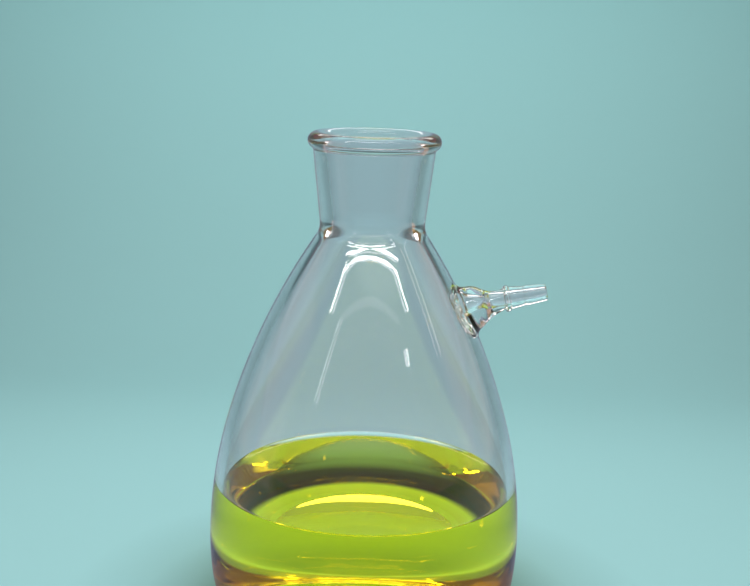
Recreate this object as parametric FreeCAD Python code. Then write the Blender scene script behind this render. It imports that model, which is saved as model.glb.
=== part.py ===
"""Filter flask of blown glass, part filled with a clear solution. Millimetres, +Z up.

The flask stands on the table at z = 0 with its axis on Z, and its hose arm points to +X.
It is one piece of glass: a blown body with a pushed-up foot, a tapered neck with a rolled
bead, and a hose arm that is fused to the shoulder. Body, neck and bead come from tangent
arcs and lines turned about Z. The arm is a lofted flare and a turned tail about its own
tilted axis. The liquid is what the inside of the glass holds up to its filling height.
"""
import FreeCAD, Part
import math
import os

from FreeCAD import Placement, Rotation, Vector

# Body, outside
height = 211.5
widest_radius = 67.5
widest_height = 35.9
lower_side_radius = 127.0
upper_side_radius = 196.0
shoulder_start_height = 90.3
shoulder_side_radius = 282.0

# Foot
heel_radius = 22.0
foot_width = 3.5
foot_inner_radius = 5.0
punt_depth = 3.5

# Glass thickness and the inside of the base
body_wall = 4.0
floor_thickness = 5.0
inner_heel_radius = 18.0

# Neck and bead
mouth_bore_radius = 20.8
bore_taper_angle = 7.5
throat_radius = 12.0
neck_wall = 5.1
neck_taper_angle = 6.4
neck_root_radius = 9.0
bead_radius = 3.5
bead_root_radius = 1.5

# Hose arm, measured along its axis from the outside of the body
arm_root_height = 139.4
arm_tilt_angle = 11.3
arm_length = 34.8
flare_radius = 9.9
flare_half_length = 8.2
flare_drop = 2.0
flare_weld_radius = 2.5
waist_distance = 16.4
waist_radius = 4.1
ring_distance = 17.9
ring_radius = 5.7
ring_width = 2.6
tail_start_radius = 4.9
tail_step_distance = 25.4
tail_step_height = 0.3
tip_radius = 3.7
tip_round_radius = 0.9

# Bore of the hose arm
bore_start_distance = 8.5
bore_start_radius = 2.9
bore_tip_radius = 1.8
pinch_distance = 5.5
pinch_radius = 2.1
funnel_radius = 5.2

# Liquid
fill_height = 59.5
meniscus_rise = 1.4
meniscus_reach = 3.2

# How far a cutting body reaches past what it cuts
overshoot = 5.0
# How many cross-sections the flare of the arm is lofted through
flare_sections = 7
# An edge that lies this close to two bodies is where they meet
contact_tolerance = 0.01


def polar(centre, radius, angle):
    """Point of the (radius, height) plane at an angle in degrees on a circle."""
    turn = math.radians(angle)
    return (centre[0] + radius * math.cos(turn), centre[1] + radius * math.sin(turn))


def bearing(start, end):
    """Direction in degrees from one point of the (radius, height) plane to another."""
    return math.degrees(math.atan2(end[1] - start[1], end[0] - start[0]))


def in_space(point):
    """A point of the (radius, height) plane as a vector in the XZ plane."""
    return Vector(point[0], 0, point[1])


def line(start, end):
    """Straight edge of an outline."""
    return Part.LineSegment(in_space(start), in_space(end)).toShape()


def arc(centre, radius, start_angle, end_angle):
    """Arc of an outline, from one angle in degrees to the other."""
    middle = (start_angle + end_angle) / 2
    points = [polar(centre, radius, angle) for angle in (start_angle, middle, end_angle)]
    return Part.Arc(*[in_space(point) for point in points]).toShape()


def turned(edges):
    """Solid that a closed outline in the XZ plane sweeps about Z."""
    face = Part.Face(Part.Wire(Part.__sortEdges__(edges)))
    return face.revolve(Vector(0, 0, 0), Vector(0, 0, 1), 360)


def side_arcs():
    """Centre and outer radius of the lower, upper and shoulder arc of the side, in order."""
    lower = ((widest_radius - lower_side_radius, widest_height), lower_side_radius)
    upper = ((widest_radius - upper_side_radius, widest_height), upper_side_radius)
    join = polar(upper[0], upper_side_radius, shoulder_angle())
    shoulder = (polar(join, shoulder_side_radius, shoulder_angle() + 180), shoulder_side_radius)
    return lower, upper, shoulder


def shoulder_angle():
    """Angle in degrees at which the upper arc of the side hands over to the shoulder's."""
    rise = shoulder_start_height - widest_height
    return math.degrees(math.asin(rise / upper_side_radius))


def side_radius_at(z, wall):
    """Radius of the side at a height: the outside with wall 0, the inside with the wall."""
    lower, upper, shoulder = side_arcs()
    if z < widest_height:
        centre, radius = lower
    elif z < shoulder_start_height:
        centre, radius = upper
    else:
        centre, radius = shoulder
    return centre[0] + math.sqrt((radius - wall) ** 2 - (z - centre[1]) ** 2)


def heel_centre(side_centre, side_radius, round_radius, low):
    """Centre of the arc that joins the lower side, from inside it, to a level floor."""
    z = low + round_radius
    reach = side_radius - round_radius
    return (side_centre[0] + math.sqrt(reach ** 2 - (z - side_centre[1]) ** 2), z)


def dome_edges(round_centre, round_radius, low):
    """Dome of the base from the axis, and the angle at which it meets the round beside it."""
    offset = round_radius - punt_depth
    square = round_centre[0] ** 2 + offset ** 2 - round_radius ** 2
    dome_radius = square / (2 * punt_depth)
    centre = (0, low + punt_depth - dome_radius)
    angle = bearing(centre, round_centre)
    return arc(centre, dome_radius, 90, angle), angle + 180


def blend_centre(foot, lean, centre, reach, radius, upper):
    """Centre of an arc that touches a leaning line from outside and a circle.

    The line passes through foot and leans outwards by lean degrees from the vertical. The
    arc's centre is reach away from the circle's centre, on its upper or its lower crossing.
    """
    up = (math.sin(math.radians(lean)), math.cos(math.radians(lean)))
    start = (foot[0] + radius * up[1] - centre[0], foot[1] - radius * up[0] - centre[1])
    along = start[0] * up[0] + start[1] * up[1]
    root = math.sqrt(along ** 2 - start[0] ** 2 - start[1] ** 2 + reach ** 2)
    travel = -along + root if upper else -along - root
    return (centre[0] + start[0] + travel * up[0], centre[1] + start[1] + travel * up[1])


def bore_mouth():
    """Point at which the bore of the neck runs into the bead."""
    lift = bead_radius * math.sin(math.radians(bore_taper_angle))
    return (mouth_bore_radius, height - bead_radius + lift)


def bead_centre():
    """Centre of the bead's section: it touches the bore and reaches the full height."""
    return polar(bore_mouth(), bead_radius, -bore_taper_angle)


def neck_foot():
    """Point on the outside line of the neck, level with the bead's centre."""
    return (mouth_bore_radius + neck_wall, height - bead_radius)


def side_edges(wall, heel, neck_line_foot, taper, neck_blend):
    """Edges of the side from its heel to its neck, and the last point on the neck's blend."""
    lower, upper, shoulder = side_arcs()
    heel_angle = bearing(lower[0], heel)
    turn = shoulder_angle()
    blend = blend_centre(neck_line_foot, taper, shoulder[0], shoulder[1] - wall + neck_blend,
                         neck_blend, True)
    neck_angle = bearing(shoulder[0], blend)
    edges = [
        arc(lower[0], lower[1] - wall, heel_angle, 0),
        arc(upper[0], upper[1] - wall, 0, turn),
        arc(shoulder[0], shoulder[1] - wall, turn, neck_angle),
        arc(blend, neck_blend, neck_angle + 180, 180 - taper),
    ]
    return edges, heel_angle, polar(blend, neck_blend, 180 - taper)


def outer_solid():
    """Solid glass with the outside form of body, foot, neck and bead."""
    lower = side_arcs()[0]
    heel = heel_centre(lower[0], lower[1], heel_radius, 0)
    foot = (heel[0] - foot_width, foot_inner_radius)
    dome, foot_angle = dome_edges(foot, foot_inner_radius, 0)
    side, heel_angle, neck_start = side_edges(0, heel, neck_foot(), neck_taper_angle,
                                              neck_root_radius)
    bead = bead_centre()
    root = blend_centre(neck_foot(), neck_taper_angle, bead, bead_radius + bead_root_radius,
                        bead_root_radius, False)
    neck_end = polar(root, bead_root_radius, 180 - neck_taper_angle)
    bead_angle = bearing(bead, root)
    edges = [
        dome,
        arc(foot, foot_inner_radius, foot_angle, 270),
        line((foot[0], 0), (heel[0], 0)),
        arc(heel, heel_radius, -90, heel_angle),
        *side,
        line(neck_start, neck_end),
        arc(root, bead_root_radius, 180 - neck_taper_angle, bead_angle + 180),
        arc(bead, bead_radius, bead_angle, 90),
        line((bead[0], height), (0, height)),
        line((0, height), (0, punt_depth)),
    ]
    return turned(edges)


def inner_solid():
    """Space inside the glass, from the floor up through the neck and past the bead."""
    lower = side_arcs()[0]
    heel = heel_centre(lower[0], lower[1] - body_wall, inner_heel_radius, floor_thickness)
    dome, floor_angle = dome_edges(heel, inner_heel_radius, floor_thickness)
    side, heel_angle, throat = side_edges(body_wall, heel, bore_mouth(), bore_taper_angle,
                                          throat_radius)
    bead = bead_centre()
    top = height + overshoot
    edges = [
        dome,
        arc(heel, inner_heel_radius, floor_angle, heel_angle + 360),
        *side,
        line(throat, bore_mouth()),
        arc(bead, bead_radius, 180 - bore_taper_angle, 90),
        line((bead[0], height), (bead[0], top)),
        line((bead[0], top), (0, top)),
        line((0, top), (0, floor_thickness + punt_depth)),
    ]
    return turned(edges)


def arm_placement():
    """Frame of the hose arm: its Z runs outwards along the arm, and its X points down."""
    root = Vector(side_radius_at(arm_root_height, 0), 0, arm_root_height)
    return Placement(root, Rotation(Vector(0, 1, 0), 90 - arm_tilt_angle))


def flare_section(distance):
    """Round section of the flare: wide and low at the body, narrow and central at the waist."""
    spread = 1 / (1 + (max(distance, 0) / flare_half_length) ** 4)
    radius = waist_radius + (flare_radius - waist_radius) * spread
    drop = flare_drop * (1 - (max(distance, 0) / waist_distance) ** 2)
    circle = Part.Circle(Vector(drop, 0, distance), Vector(0, 0, 1), radius)
    return Part.Wire(circle.toShape())


def arm_flare():
    """Trumpet-shaped root of the arm, from inside the wall of the body out to the waist."""
    step = waist_distance / (flare_sections - 1)
    distances = [-overshoot] + [step * index for index in range(flare_sections)]
    return Part.makeLoft([flare_section(distance) for distance in distances], True, False)


def arm_tail():
    """Hose tail: a rounded ring, then a taper with one step, and a fire-polished tip."""
    ring_round = ring_width / 2
    ring_centre = (ring_radius - ring_round, ring_distance)
    ring_end = (tail_start_radius, ring_distance + ring_round)
    slope = (tail_start_radius - tip_radius) / (arm_length - ring_distance)
    step_radius = tail_start_radius - slope * (tail_step_distance - ring_distance)
    step_in = (step_radius - tail_step_height, tail_step_distance)
    step_out = (step_radius, tail_step_distance + tail_step_height)
    tip_round = (tip_radius - tip_round_radius, arm_length - tip_round_radius)
    edges = [
        line((0, waist_distance - ring_round), (waist_radius, waist_distance - ring_round)),
        line((waist_radius, waist_distance - ring_round), (waist_radius, waist_distance)),
        line((waist_radius, waist_distance), polar(ring_centre, ring_round, -90)),
        arc(ring_centre, ring_round, -90, 90),
        line(polar(ring_centre, ring_round, 90), ring_end),
        line(ring_end, step_in),
        line(step_in, step_out),
        line(step_out, (tip_radius, tip_round[1])),
        arc(tip_round, tip_round_radius, 0, 90),
        line((tip_round[0], arm_length), (0, arm_length)),
        line((0, arm_length), (0, waist_distance - ring_round)),
    ]
    return turned(edges)


def arm_bore():
    """Bore of the arm: tapered in the tail, pinched in the flare, a funnel into the body."""
    funnel_end = -body_wall - overshoot
    mouth = arm_length + overshoot
    slope = (bore_start_radius - bore_tip_radius) / (arm_length - bore_start_distance)
    mouth_radius = bore_tip_radius - slope * overshoot
    points = [
        (0, funnel_end),
        (funnel_radius, funnel_end),
        (funnel_radius, -body_wall),
        (pinch_radius, pinch_distance),
        (bore_start_radius, bore_start_distance),
        (mouth_radius, mouth),
        (0, mouth),
        (0, funnel_end),
    ]
    return turned([line(start, end) for start, end in zip(points, points[1:])])


def weld_edges(glass, body, arm):
    """Edges of the fused glass along which the arm leaves the outside of the body."""
    edges = []
    for edge in glass.Edges:
        middle = Part.Vertex(edge.valueAt((edge.FirstParameter + edge.LastParameter) / 2))
        gap = max(middle.distToShape(body)[0], middle.distToShape(arm)[0])
        if gap < contact_tolerance:
            edges.append(edge)
    return edges


def flask(space):
    """The glass: body and arm fused with a rounded weld, then hollowed."""
    place = arm_placement()
    arm = arm_flare().fuse(arm_tail())
    arm.Placement = place
    bore = arm_bore()
    bore.Placement = place
    body = outer_solid()
    glass = body.fuse(arm)
    glass = glass.makeFillet(flare_weld_radius, weld_edges(glass, body, arm))
    return glass.cut(space).cut(bore)


def liquid(space):
    """The filling: the inside of the glass up to a level surface that climbs at the wall."""
    contact = fill_height + meniscus_rise
    wall_radius = side_radius_at(contact, body_wall)
    curve_radius = (meniscus_reach ** 2 + meniscus_rise ** 2) / (2 * meniscus_rise)
    curve_centre = (wall_radius - meniscus_reach, fill_height + curve_radius)
    rim_angle = bearing(curve_centre, (wall_radius, contact))
    rim = wall_radius + overshoot + widest_radius
    edges = [
        line((0, 0), (0, fill_height)),
        line((0, fill_height), (curve_centre[0], fill_height)),
        arc(curve_centre, curve_radius, -90, rim_angle),
        line((wall_radius, contact), (rim, contact)),
        line((rim, contact), (rim, 0)),
        line((rim, 0), (0, 0)),
    ]
    return space.common(turned(edges))


def main():
    """Write one STEP file for each piece."""
    os.makedirs("parts", exist_ok=True)
    space = inner_solid()
    pieces = {"flask": flask(space), "liquid": liquid(space)}
    for name, shape in pieces.items():
        shape.exportStep(f"parts/{name}.step")
        box = shape.BoundBox
        print(name, len(shape.Solids), "solid,", round(shape.Volume / 1000, 1), "ml, valid",
              shape.isValid(), "x", round(box.XMin, 2), round(box.XMax, 2),
              "z", round(box.ZMin, 2), round(box.ZMax, 2))


main()
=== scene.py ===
"""Looks of a filter flask: blown glass with a fused hose arm, part filled with a clear solution.

The flask stands at the origin with its axis on Z and its hose arm towards +X, as in the model
that the frame loads. Every size of the object is a named field in millimetres. Places of the
camera, lamps and paper are in metres.
"""
import sys
import logging
import math
from dataclasses import dataclass, field
from enum import Enum

import bpy
import numpy as np
from mathutils import Matrix, Vector


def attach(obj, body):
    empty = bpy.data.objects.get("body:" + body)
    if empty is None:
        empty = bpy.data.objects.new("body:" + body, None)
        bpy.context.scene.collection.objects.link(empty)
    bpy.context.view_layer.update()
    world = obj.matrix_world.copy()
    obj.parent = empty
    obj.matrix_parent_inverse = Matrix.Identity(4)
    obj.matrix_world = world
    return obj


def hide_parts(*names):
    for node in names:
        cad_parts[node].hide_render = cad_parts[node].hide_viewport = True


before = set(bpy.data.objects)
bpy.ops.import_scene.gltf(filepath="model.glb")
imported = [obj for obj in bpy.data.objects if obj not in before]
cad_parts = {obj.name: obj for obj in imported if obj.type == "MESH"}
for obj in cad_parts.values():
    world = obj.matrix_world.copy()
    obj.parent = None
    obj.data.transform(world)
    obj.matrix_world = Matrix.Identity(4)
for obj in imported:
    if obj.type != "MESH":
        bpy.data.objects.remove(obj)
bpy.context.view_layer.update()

MM = 0.001
PICTURE_WIDTH = 750
GLASS_IOR = 1.47
WATER_IOR = 1.333
TOP_MARK = "open_top"
LIGHT_BOUNCES = 32

Point = tuple[float, float]
Place = tuple[float, float, float]
Colour = tuple[float, float, float]
Socket = bpy.types.NodeSocket
Fill = Socket | float | tuple[float, ...]

WHITE: Colour = (1.0, 1.0, 1.0)

log = logging.getLogger("flask")


class Ray(Enum):
    """Kinds of ray for which a finish or the room differs."""

    CAMERA = "Is Camera Ray"
    SHADOW = "Is Shadow Ray"
    MIRRORED = "Is Glossy Ray"
    THROUGH_GLASS = "Is Transmission Ray"


@dataclass(frozen=True)
class Ramp:
    """A value that runs from low at start to high at end, eased unless it is straight."""

    start: float
    end: float
    low: float = 0.0
    high: float = 1.0
    straight: bool = False


def linear(*screen: int) -> Colour:
    """Turns a screen colour into the light values that shaders take.

    Args:
        screen: Red, green and blue, from 0 to 255.

    Returns:
        Red, green and blue light, from 0 to 1.
    """
    shares = np.array(screen) / 255
    low = shares / 12.92
    high = ((shares + 0.055) / 1.055) ** 2.4
    return tuple(np.where(shares <= 0.04045, low, high))


def smooth_step(start: float, end: float, value: np.ndarray) -> np.ndarray:
    """Eases from 0 at start to 1 at end as 3t² - 2t³ of the share t of the way."""
    share = np.clip((value - start) / (end - start), 0, 1)
    return share * share * (3 - 2 * share)


def polar(centre: Point, radius: float, angle: float) -> Point:
    """Point of the (radius, height) plane at an angle in degrees on a circle."""
    turn = math.radians(angle)
    return (centre[0] + radius * math.cos(turn), centre[1] + radius * math.sin(turn))


def bearing(start: Point, end: Point) -> float:
    """Direction in degrees from one point of the (radius, height) plane to another."""
    return math.degrees(math.atan2(end[1] - start[1], end[0] - start[0]))


@dataclass
class Outline:
    """Rows of a turned form: points of the (radius, height) plane, in order.

    A run adds its points without its last one, which the next run starts with.
    """

    row_step: float = 1.6
    turn_step: float = 9.0
    runs: list[np.ndarray] = field(default_factory=list)

    def arc(self, centre: Point, radius: float, start: float, end: float, rows: int = 0) -> int:
        """Adds an arc: centre + radius (cos t, sin t) for evenly spaced angles t.

        Args:
            centre: Centre of the arc.
            radius: Radius of the arc.
            start: First angle in degrees.
            end: Last angle in degrees.
            rows: How many rows it takes, or 0 to work that out from the two steps.

        Returns:
            The index of the arc's first row.
        """
        turn = abs(end - start)
        by_length = math.radians(turn) * radius / self.row_step
        count = rows or max(math.ceil(by_length), math.ceil(turn / self.turn_step))
        angles = np.radians(np.linspace(start, end, count, endpoint=False))
        run = np.stack([centre[0] + radius * np.cos(angles),
                        centre[1] + radius * np.sin(angles)], axis=1)
        return self.add(run)

    def line(self, start: Point, end: Point) -> int:
        """Adds a straight stretch, start + t (end - start) for evenly spaced shares t.

        Args:
            start: Its first point.
            end: Where it ends, one step past its last point.

        Returns:
            The index of its first row.
        """
        count = max(2, math.ceil(math.dist(start, end) / self.row_step))
        share = np.linspace(0, 1, count, endpoint=False)[:, None]
        return self.add(np.array(start) + share * (np.array(end) - np.array(start)))

    def add(self, run: np.ndarray) -> int:
        """Adds points as they are and returns the index of the first."""
        self.runs.append(run)
        return sum(len(part) for part in self.runs[:-1])

    def points(self) -> np.ndarray:
        """All rows as one array."""
        return np.concatenate(self.runs)


@dataclass
class Body:
    """Sizes of the blown body, neck and bead, in millimetres, and the outline that they give."""

    height: float = 211.5
    widest_radius: float = 67.5
    widest_height: float = 35.9
    lower_side_radius: float = 127.0
    upper_side_radius: float = 196.0
    shoulder_start_height: float = 90.3
    shoulder_side_radius: float = 282.0
    heel_radius: float = 22.0
    foot_width: float = 3.5
    foot_inner_radius: float = 5.0
    punt_depth: float = 3.5
    wall: float = 4.0
    floor_thickness: float = 5.0
    inner_heel_radius: float = 18.0
    mouth_bore_radius: float = 20.8
    bore_taper: float = 7.5
    throat_radius: float = 12.0
    neck_wall: float = 5.1
    neck_taper: float = 6.4
    neck_root_radius: float = 9.0
    bead_radius: float = 3.5
    bead_root_radius: float = 1.5
    window_low: float = 121.5
    window_high: float = 153.5
    window_rows: int = 20

    def shoulder_turn(self) -> float:
        """Angle in degrees at which the upper arc of the side hands over to the shoulder's."""
        rise = self.shoulder_start_height - self.widest_height
        return math.degrees(math.asin(rise / self.upper_side_radius))

    def side(self) -> tuple[tuple[Point, float], ...]:
        """Works out the three arcs of the side, each tangent to the one below.

        Returns:
            Centre and outer radius of the lower, the upper and the shoulder's arc.
        """
        lower = (self.widest_radius - self.lower_side_radius, self.widest_height)
        upper = (self.widest_radius - self.upper_side_radius, self.widest_height)
        join = polar(upper, self.upper_side_radius, self.shoulder_turn())
        shoulder = polar(join, self.shoulder_side_radius, self.shoulder_turn() + 180)
        return ((lower, self.lower_side_radius), (upper, self.upper_side_radius),
                (shoulder, self.shoulder_side_radius))

    def side_radius(self, height: np.ndarray, wall: float) -> np.ndarray:
        """Radius of the side: each arc's centre plus the root of (radius - wall)² - rise².

        Args:
            height: Heights in millimetres.
            wall: 0 for the outside, or the thickness of the glass for the inside.

        Returns:
            One radius for each height.
        """
        below = [height < self.widest_height, height < self.shoulder_start_height]
        squares = [(radius - wall) ** 2 - (height - centre[1]) ** 2
                   for centre, radius in self.side()]
        radii = [centre[0] + np.sqrt(np.maximum(square, 0))
                 for (centre, _), square in zip(self.side(), squares)]
        return np.select(below, radii[:2], radii[2])

    def heel(self, wall: float, round_radius: float, low: float) -> Point:
        """Centre of the arc that joins the lower side to the level of the foot or floor.

        Args:
            wall: 0 for the outside, or the thickness of the glass for the inside.
            round_radius: Radius of the arc.
            low: Height of the level.

        Returns:
            The centre, a round's radius above the level and inside the side.
        """
        centre, radius = self.side()[0]
        z = low + round_radius
        reach = radius - wall - round_radius
        return (centre[0] + math.sqrt(reach ** 2 - (z - centre[1]) ** 2), z)

    def dome(self, beside: Point, round_radius: float, low: float) -> tuple[Point, float, float]:
        """Works out the pushed-up dome that meets a round beside it.

        Args:
            beside: Centre of the round.
            round_radius: Radius of the round.
            low: Height of the level that the dome rises from.

        Returns:
            The dome's centre and radius, and the angle in degrees at which it ends.
        """
        offset = round_radius - self.punt_depth
        square = beside[0] ** 2 + offset ** 2 - round_radius ** 2
        radius = square / (2 * self.punt_depth)
        centre = (0.0, low + self.punt_depth - radius)
        return centre, radius, bearing(centre, beside)

    def blend(self, foot: Point, lean: float, centre: Point, reach: float, radius: float,
              upper: bool) -> Point:
        """Centre of an arc that touches a leaning line from outside and a circle.

        Args:
            foot: A point on the line.
            lean: How far the line leans outwards from the vertical, in degrees.
            centre: Centre of the circle.
            reach: Distance of the arc's centre from the circle's.
            radius: Radius of the arc.
            upper: Whether the arc lies at the upper of the two crossings.

        Returns:
            The arc's centre.
        """
        up = (math.sin(math.radians(lean)), math.cos(math.radians(lean)))
        start = (foot[0] + radius * up[1] - centre[0], foot[1] - radius * up[0] - centre[1])
        along = start[0] * up[0] + start[1] * up[1]
        root = math.sqrt(along ** 2 - start[0] ** 2 - start[1] ** 2 + reach ** 2)
        travel = -along + root if upper else -along - root
        return (centre[0] + start[0] + travel * up[0], centre[1] + start[1] + travel * up[1])

    def bore_mouth(self) -> Point:
        """Point at which the bore of the neck runs into the bead."""
        lift = self.bead_radius * math.sin(math.radians(self.bore_taper))
        return (self.mouth_bore_radius, self.height - self.bead_radius + lift)

    def bead_centre(self) -> Point:
        """Centre of the bead's section."""
        return polar(self.bore_mouth(), self.bead_radius, -self.bore_taper)

    def neck_foot(self) -> Point:
        """Point on the outside line of the neck, level with the bead's centre."""
        return (self.mouth_bore_radius + self.neck_wall, self.height - self.bead_radius)

    def side_angle(self, arc: int, height: float, wall: float) -> float:
        """Angle in degrees at a height on one of the side's three arcs, counted from below."""
        centre, radius = self.side()[arc]
        return math.degrees(math.asin((height - centre[1]) / (radius - wall)))

    def outside(self, outline: Outline) -> int:
        """Adds the outside from the foot's dome up to the top of the bore's mouth.

        Args:
            outline: The outline that takes the rows.

        Returns:
            The index of the lowest row of the arm's window.
        """
        lower, upper, shoulder = self.side()
        heel = self.heel(0, self.heel_radius, 0)
        foot = (heel[0] - self.foot_width, self.foot_inner_radius)
        dome_centre, dome_radius, dome_angle = self.dome(foot, self.foot_inner_radius, 0)
        heel_angle = bearing(lower[0], heel)
        turn = self.shoulder_turn()
        low, high = (self.side_angle(2, z, 0) for z in (self.window_low, self.window_high))
        neck = self.blend(self.neck_foot(), self.neck_taper, shoulder[0],
                          shoulder[1] + self.neck_root_radius, self.neck_root_radius, True)
        neck_angle = bearing(shoulder[0], neck)
        bead = self.bead_centre()
        root = self.blend(self.neck_foot(), self.neck_taper, bead,
                          self.bead_radius + self.bead_root_radius, self.bead_root_radius, False)
        bead_angle = bearing(bead, root)
        outline.arc(dome_centre, dome_radius, 90, dome_angle)
        outline.arc(foot, self.foot_inner_radius, dome_angle + 180, 270)
        outline.line((foot[0], 0), (heel[0], 0))
        outline.arc(heel, self.heel_radius, -90, heel_angle)
        outline.arc(lower[0], lower[1], heel_angle, 0)
        outline.arc(upper[0], upper[1], 0, turn)
        outline.arc(shoulder[0], shoulder[1], turn, low)
        window = outline.arc(shoulder[0], shoulder[1], low, high, self.window_rows)
        outline.arc(shoulder[0], shoulder[1], high, neck_angle)
        outline.arc(neck, self.neck_root_radius, neck_angle + 180, 180 - self.neck_taper)
        outline.line(polar(neck, self.neck_root_radius, 180 - self.neck_taper),
                     polar(root, self.bead_root_radius, 180 - self.neck_taper))
        outline.arc(root, self.bead_root_radius, 180 - self.neck_taper, bead_angle + 180)
        outline.arc(bead, self.bead_radius, bead_angle, 180 - self.bore_taper)
        return window

    def inside(self, outline: Outline, contact: float) -> tuple[int, int]:
        """Adds the inside from the bore's mouth down to the floor's dome.

        Args:
            outline: The outline that takes the rows.
            contact: Height in millimetres up to which the filling wets the glass.

        Returns:
            The index of the lowest row of the arm's window, and of the first wetted row.
        """
        lower, upper, shoulder = self.side()
        heel = self.heel(self.wall, self.inner_heel_radius, self.floor_thickness)
        turn = self.shoulder_turn()
        low, high = (self.side_angle(2, z, self.wall)
                     for z in (self.window_low, self.window_high))
        throat = self.blend(self.bore_mouth(), self.bore_taper, shoulder[0],
                            shoulder[1] - self.wall + self.throat_radius, self.throat_radius, True)
        throat_angle = bearing(shoulder[0], throat)
        outline.line(self.bore_mouth(), polar(throat, self.throat_radius, 180 - self.bore_taper))
        outline.arc(throat, self.throat_radius, 180 - self.bore_taper, throat_angle + 180)
        outline.arc(shoulder[0], shoulder[1] - self.wall, throat_angle, high)
        top = outline.arc(shoulder[0], shoulder[1] - self.wall, high, low, self.window_rows)
        outline.arc(shoulder[0], shoulder[1] - self.wall, low, turn)
        contact_angle = self.side_angle(1, contact, self.wall)
        outline.arc(upper[0], upper[1] - self.wall, turn, contact_angle)
        wet = outline.arc(upper[0], upper[1] - self.wall, contact_angle, 0)
        self.floor_rows(outline, heel, self.wall, self.inner_heel_radius, self.floor_thickness)
        return top + self.window_rows, wet

    def floor_rows(self, outline: Outline, heel: Point, wall: float, round_radius: float,
                   low: float) -> None:
        """Adds the lower side, the inner heel and the floor's dome, from the widest row down.

        Args:
            outline: The outline that takes the rows.
            heel: Centre of the inner heel.
            wall: Distance of the rows from the outside of the side.
            round_radius: Radius of the inner heel.
            low: Height of the floor beside the dome.
        """
        lower = self.side()[0]
        heel_angle = bearing(lower[0], heel)
        dome_centre, dome_radius, dome_angle = self.dome(heel, round_radius, low)
        outline.arc(lower[0], lower[1] - wall, 0, heel_angle)
        outline.arc(heel, round_radius, heel_angle + 360, dome_angle + 180)
        outline.arc(dome_centre, dome_radius, dome_angle, 90)


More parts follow.
